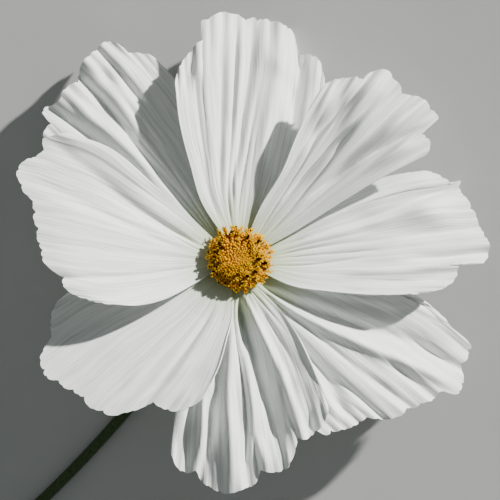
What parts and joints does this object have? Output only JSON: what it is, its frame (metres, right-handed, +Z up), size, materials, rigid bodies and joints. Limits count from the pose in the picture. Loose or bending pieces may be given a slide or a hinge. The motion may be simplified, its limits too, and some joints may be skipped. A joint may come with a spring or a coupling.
{
  "type": "cosmos flower",
  "caption": "Picked cosmos flower lying face up, with broad white notched petals round a yellow disc, green bracts below and a bent cut stem.",
  "frame": {"origin": "on the surface the flower lies on, under the middle of its bounding box", "axes": "+Z up, away from the surface; the bloom faces +Z and the cut stem runs off towards -X and -Y"},
  "size_m": [0.096, 0.1012, 0.0316],
  "materials": {
    "petal": "soft matt white petal with fine lengthwise veins",
    "disc": "matt golden yellow florets with dark brown anthers",
    "bract": "matt green bract",
    "stem": "satin dark green stem"
  },
  "bodies": {
    "root": {"petal_right": "petal", "petal_upper_right": "petal", "petal_top": "petal", "petal_upper_left": "petal", "petal_left": "petal", "petal_lower_left": "petal", "petal_bottom": "petal", "petal_lower_right": "petal", "disc_florets": "disc", "inner_bracts": "bract", "outer_bracts": "bract", "stem": "stem"}
  },
  "joints": []
}
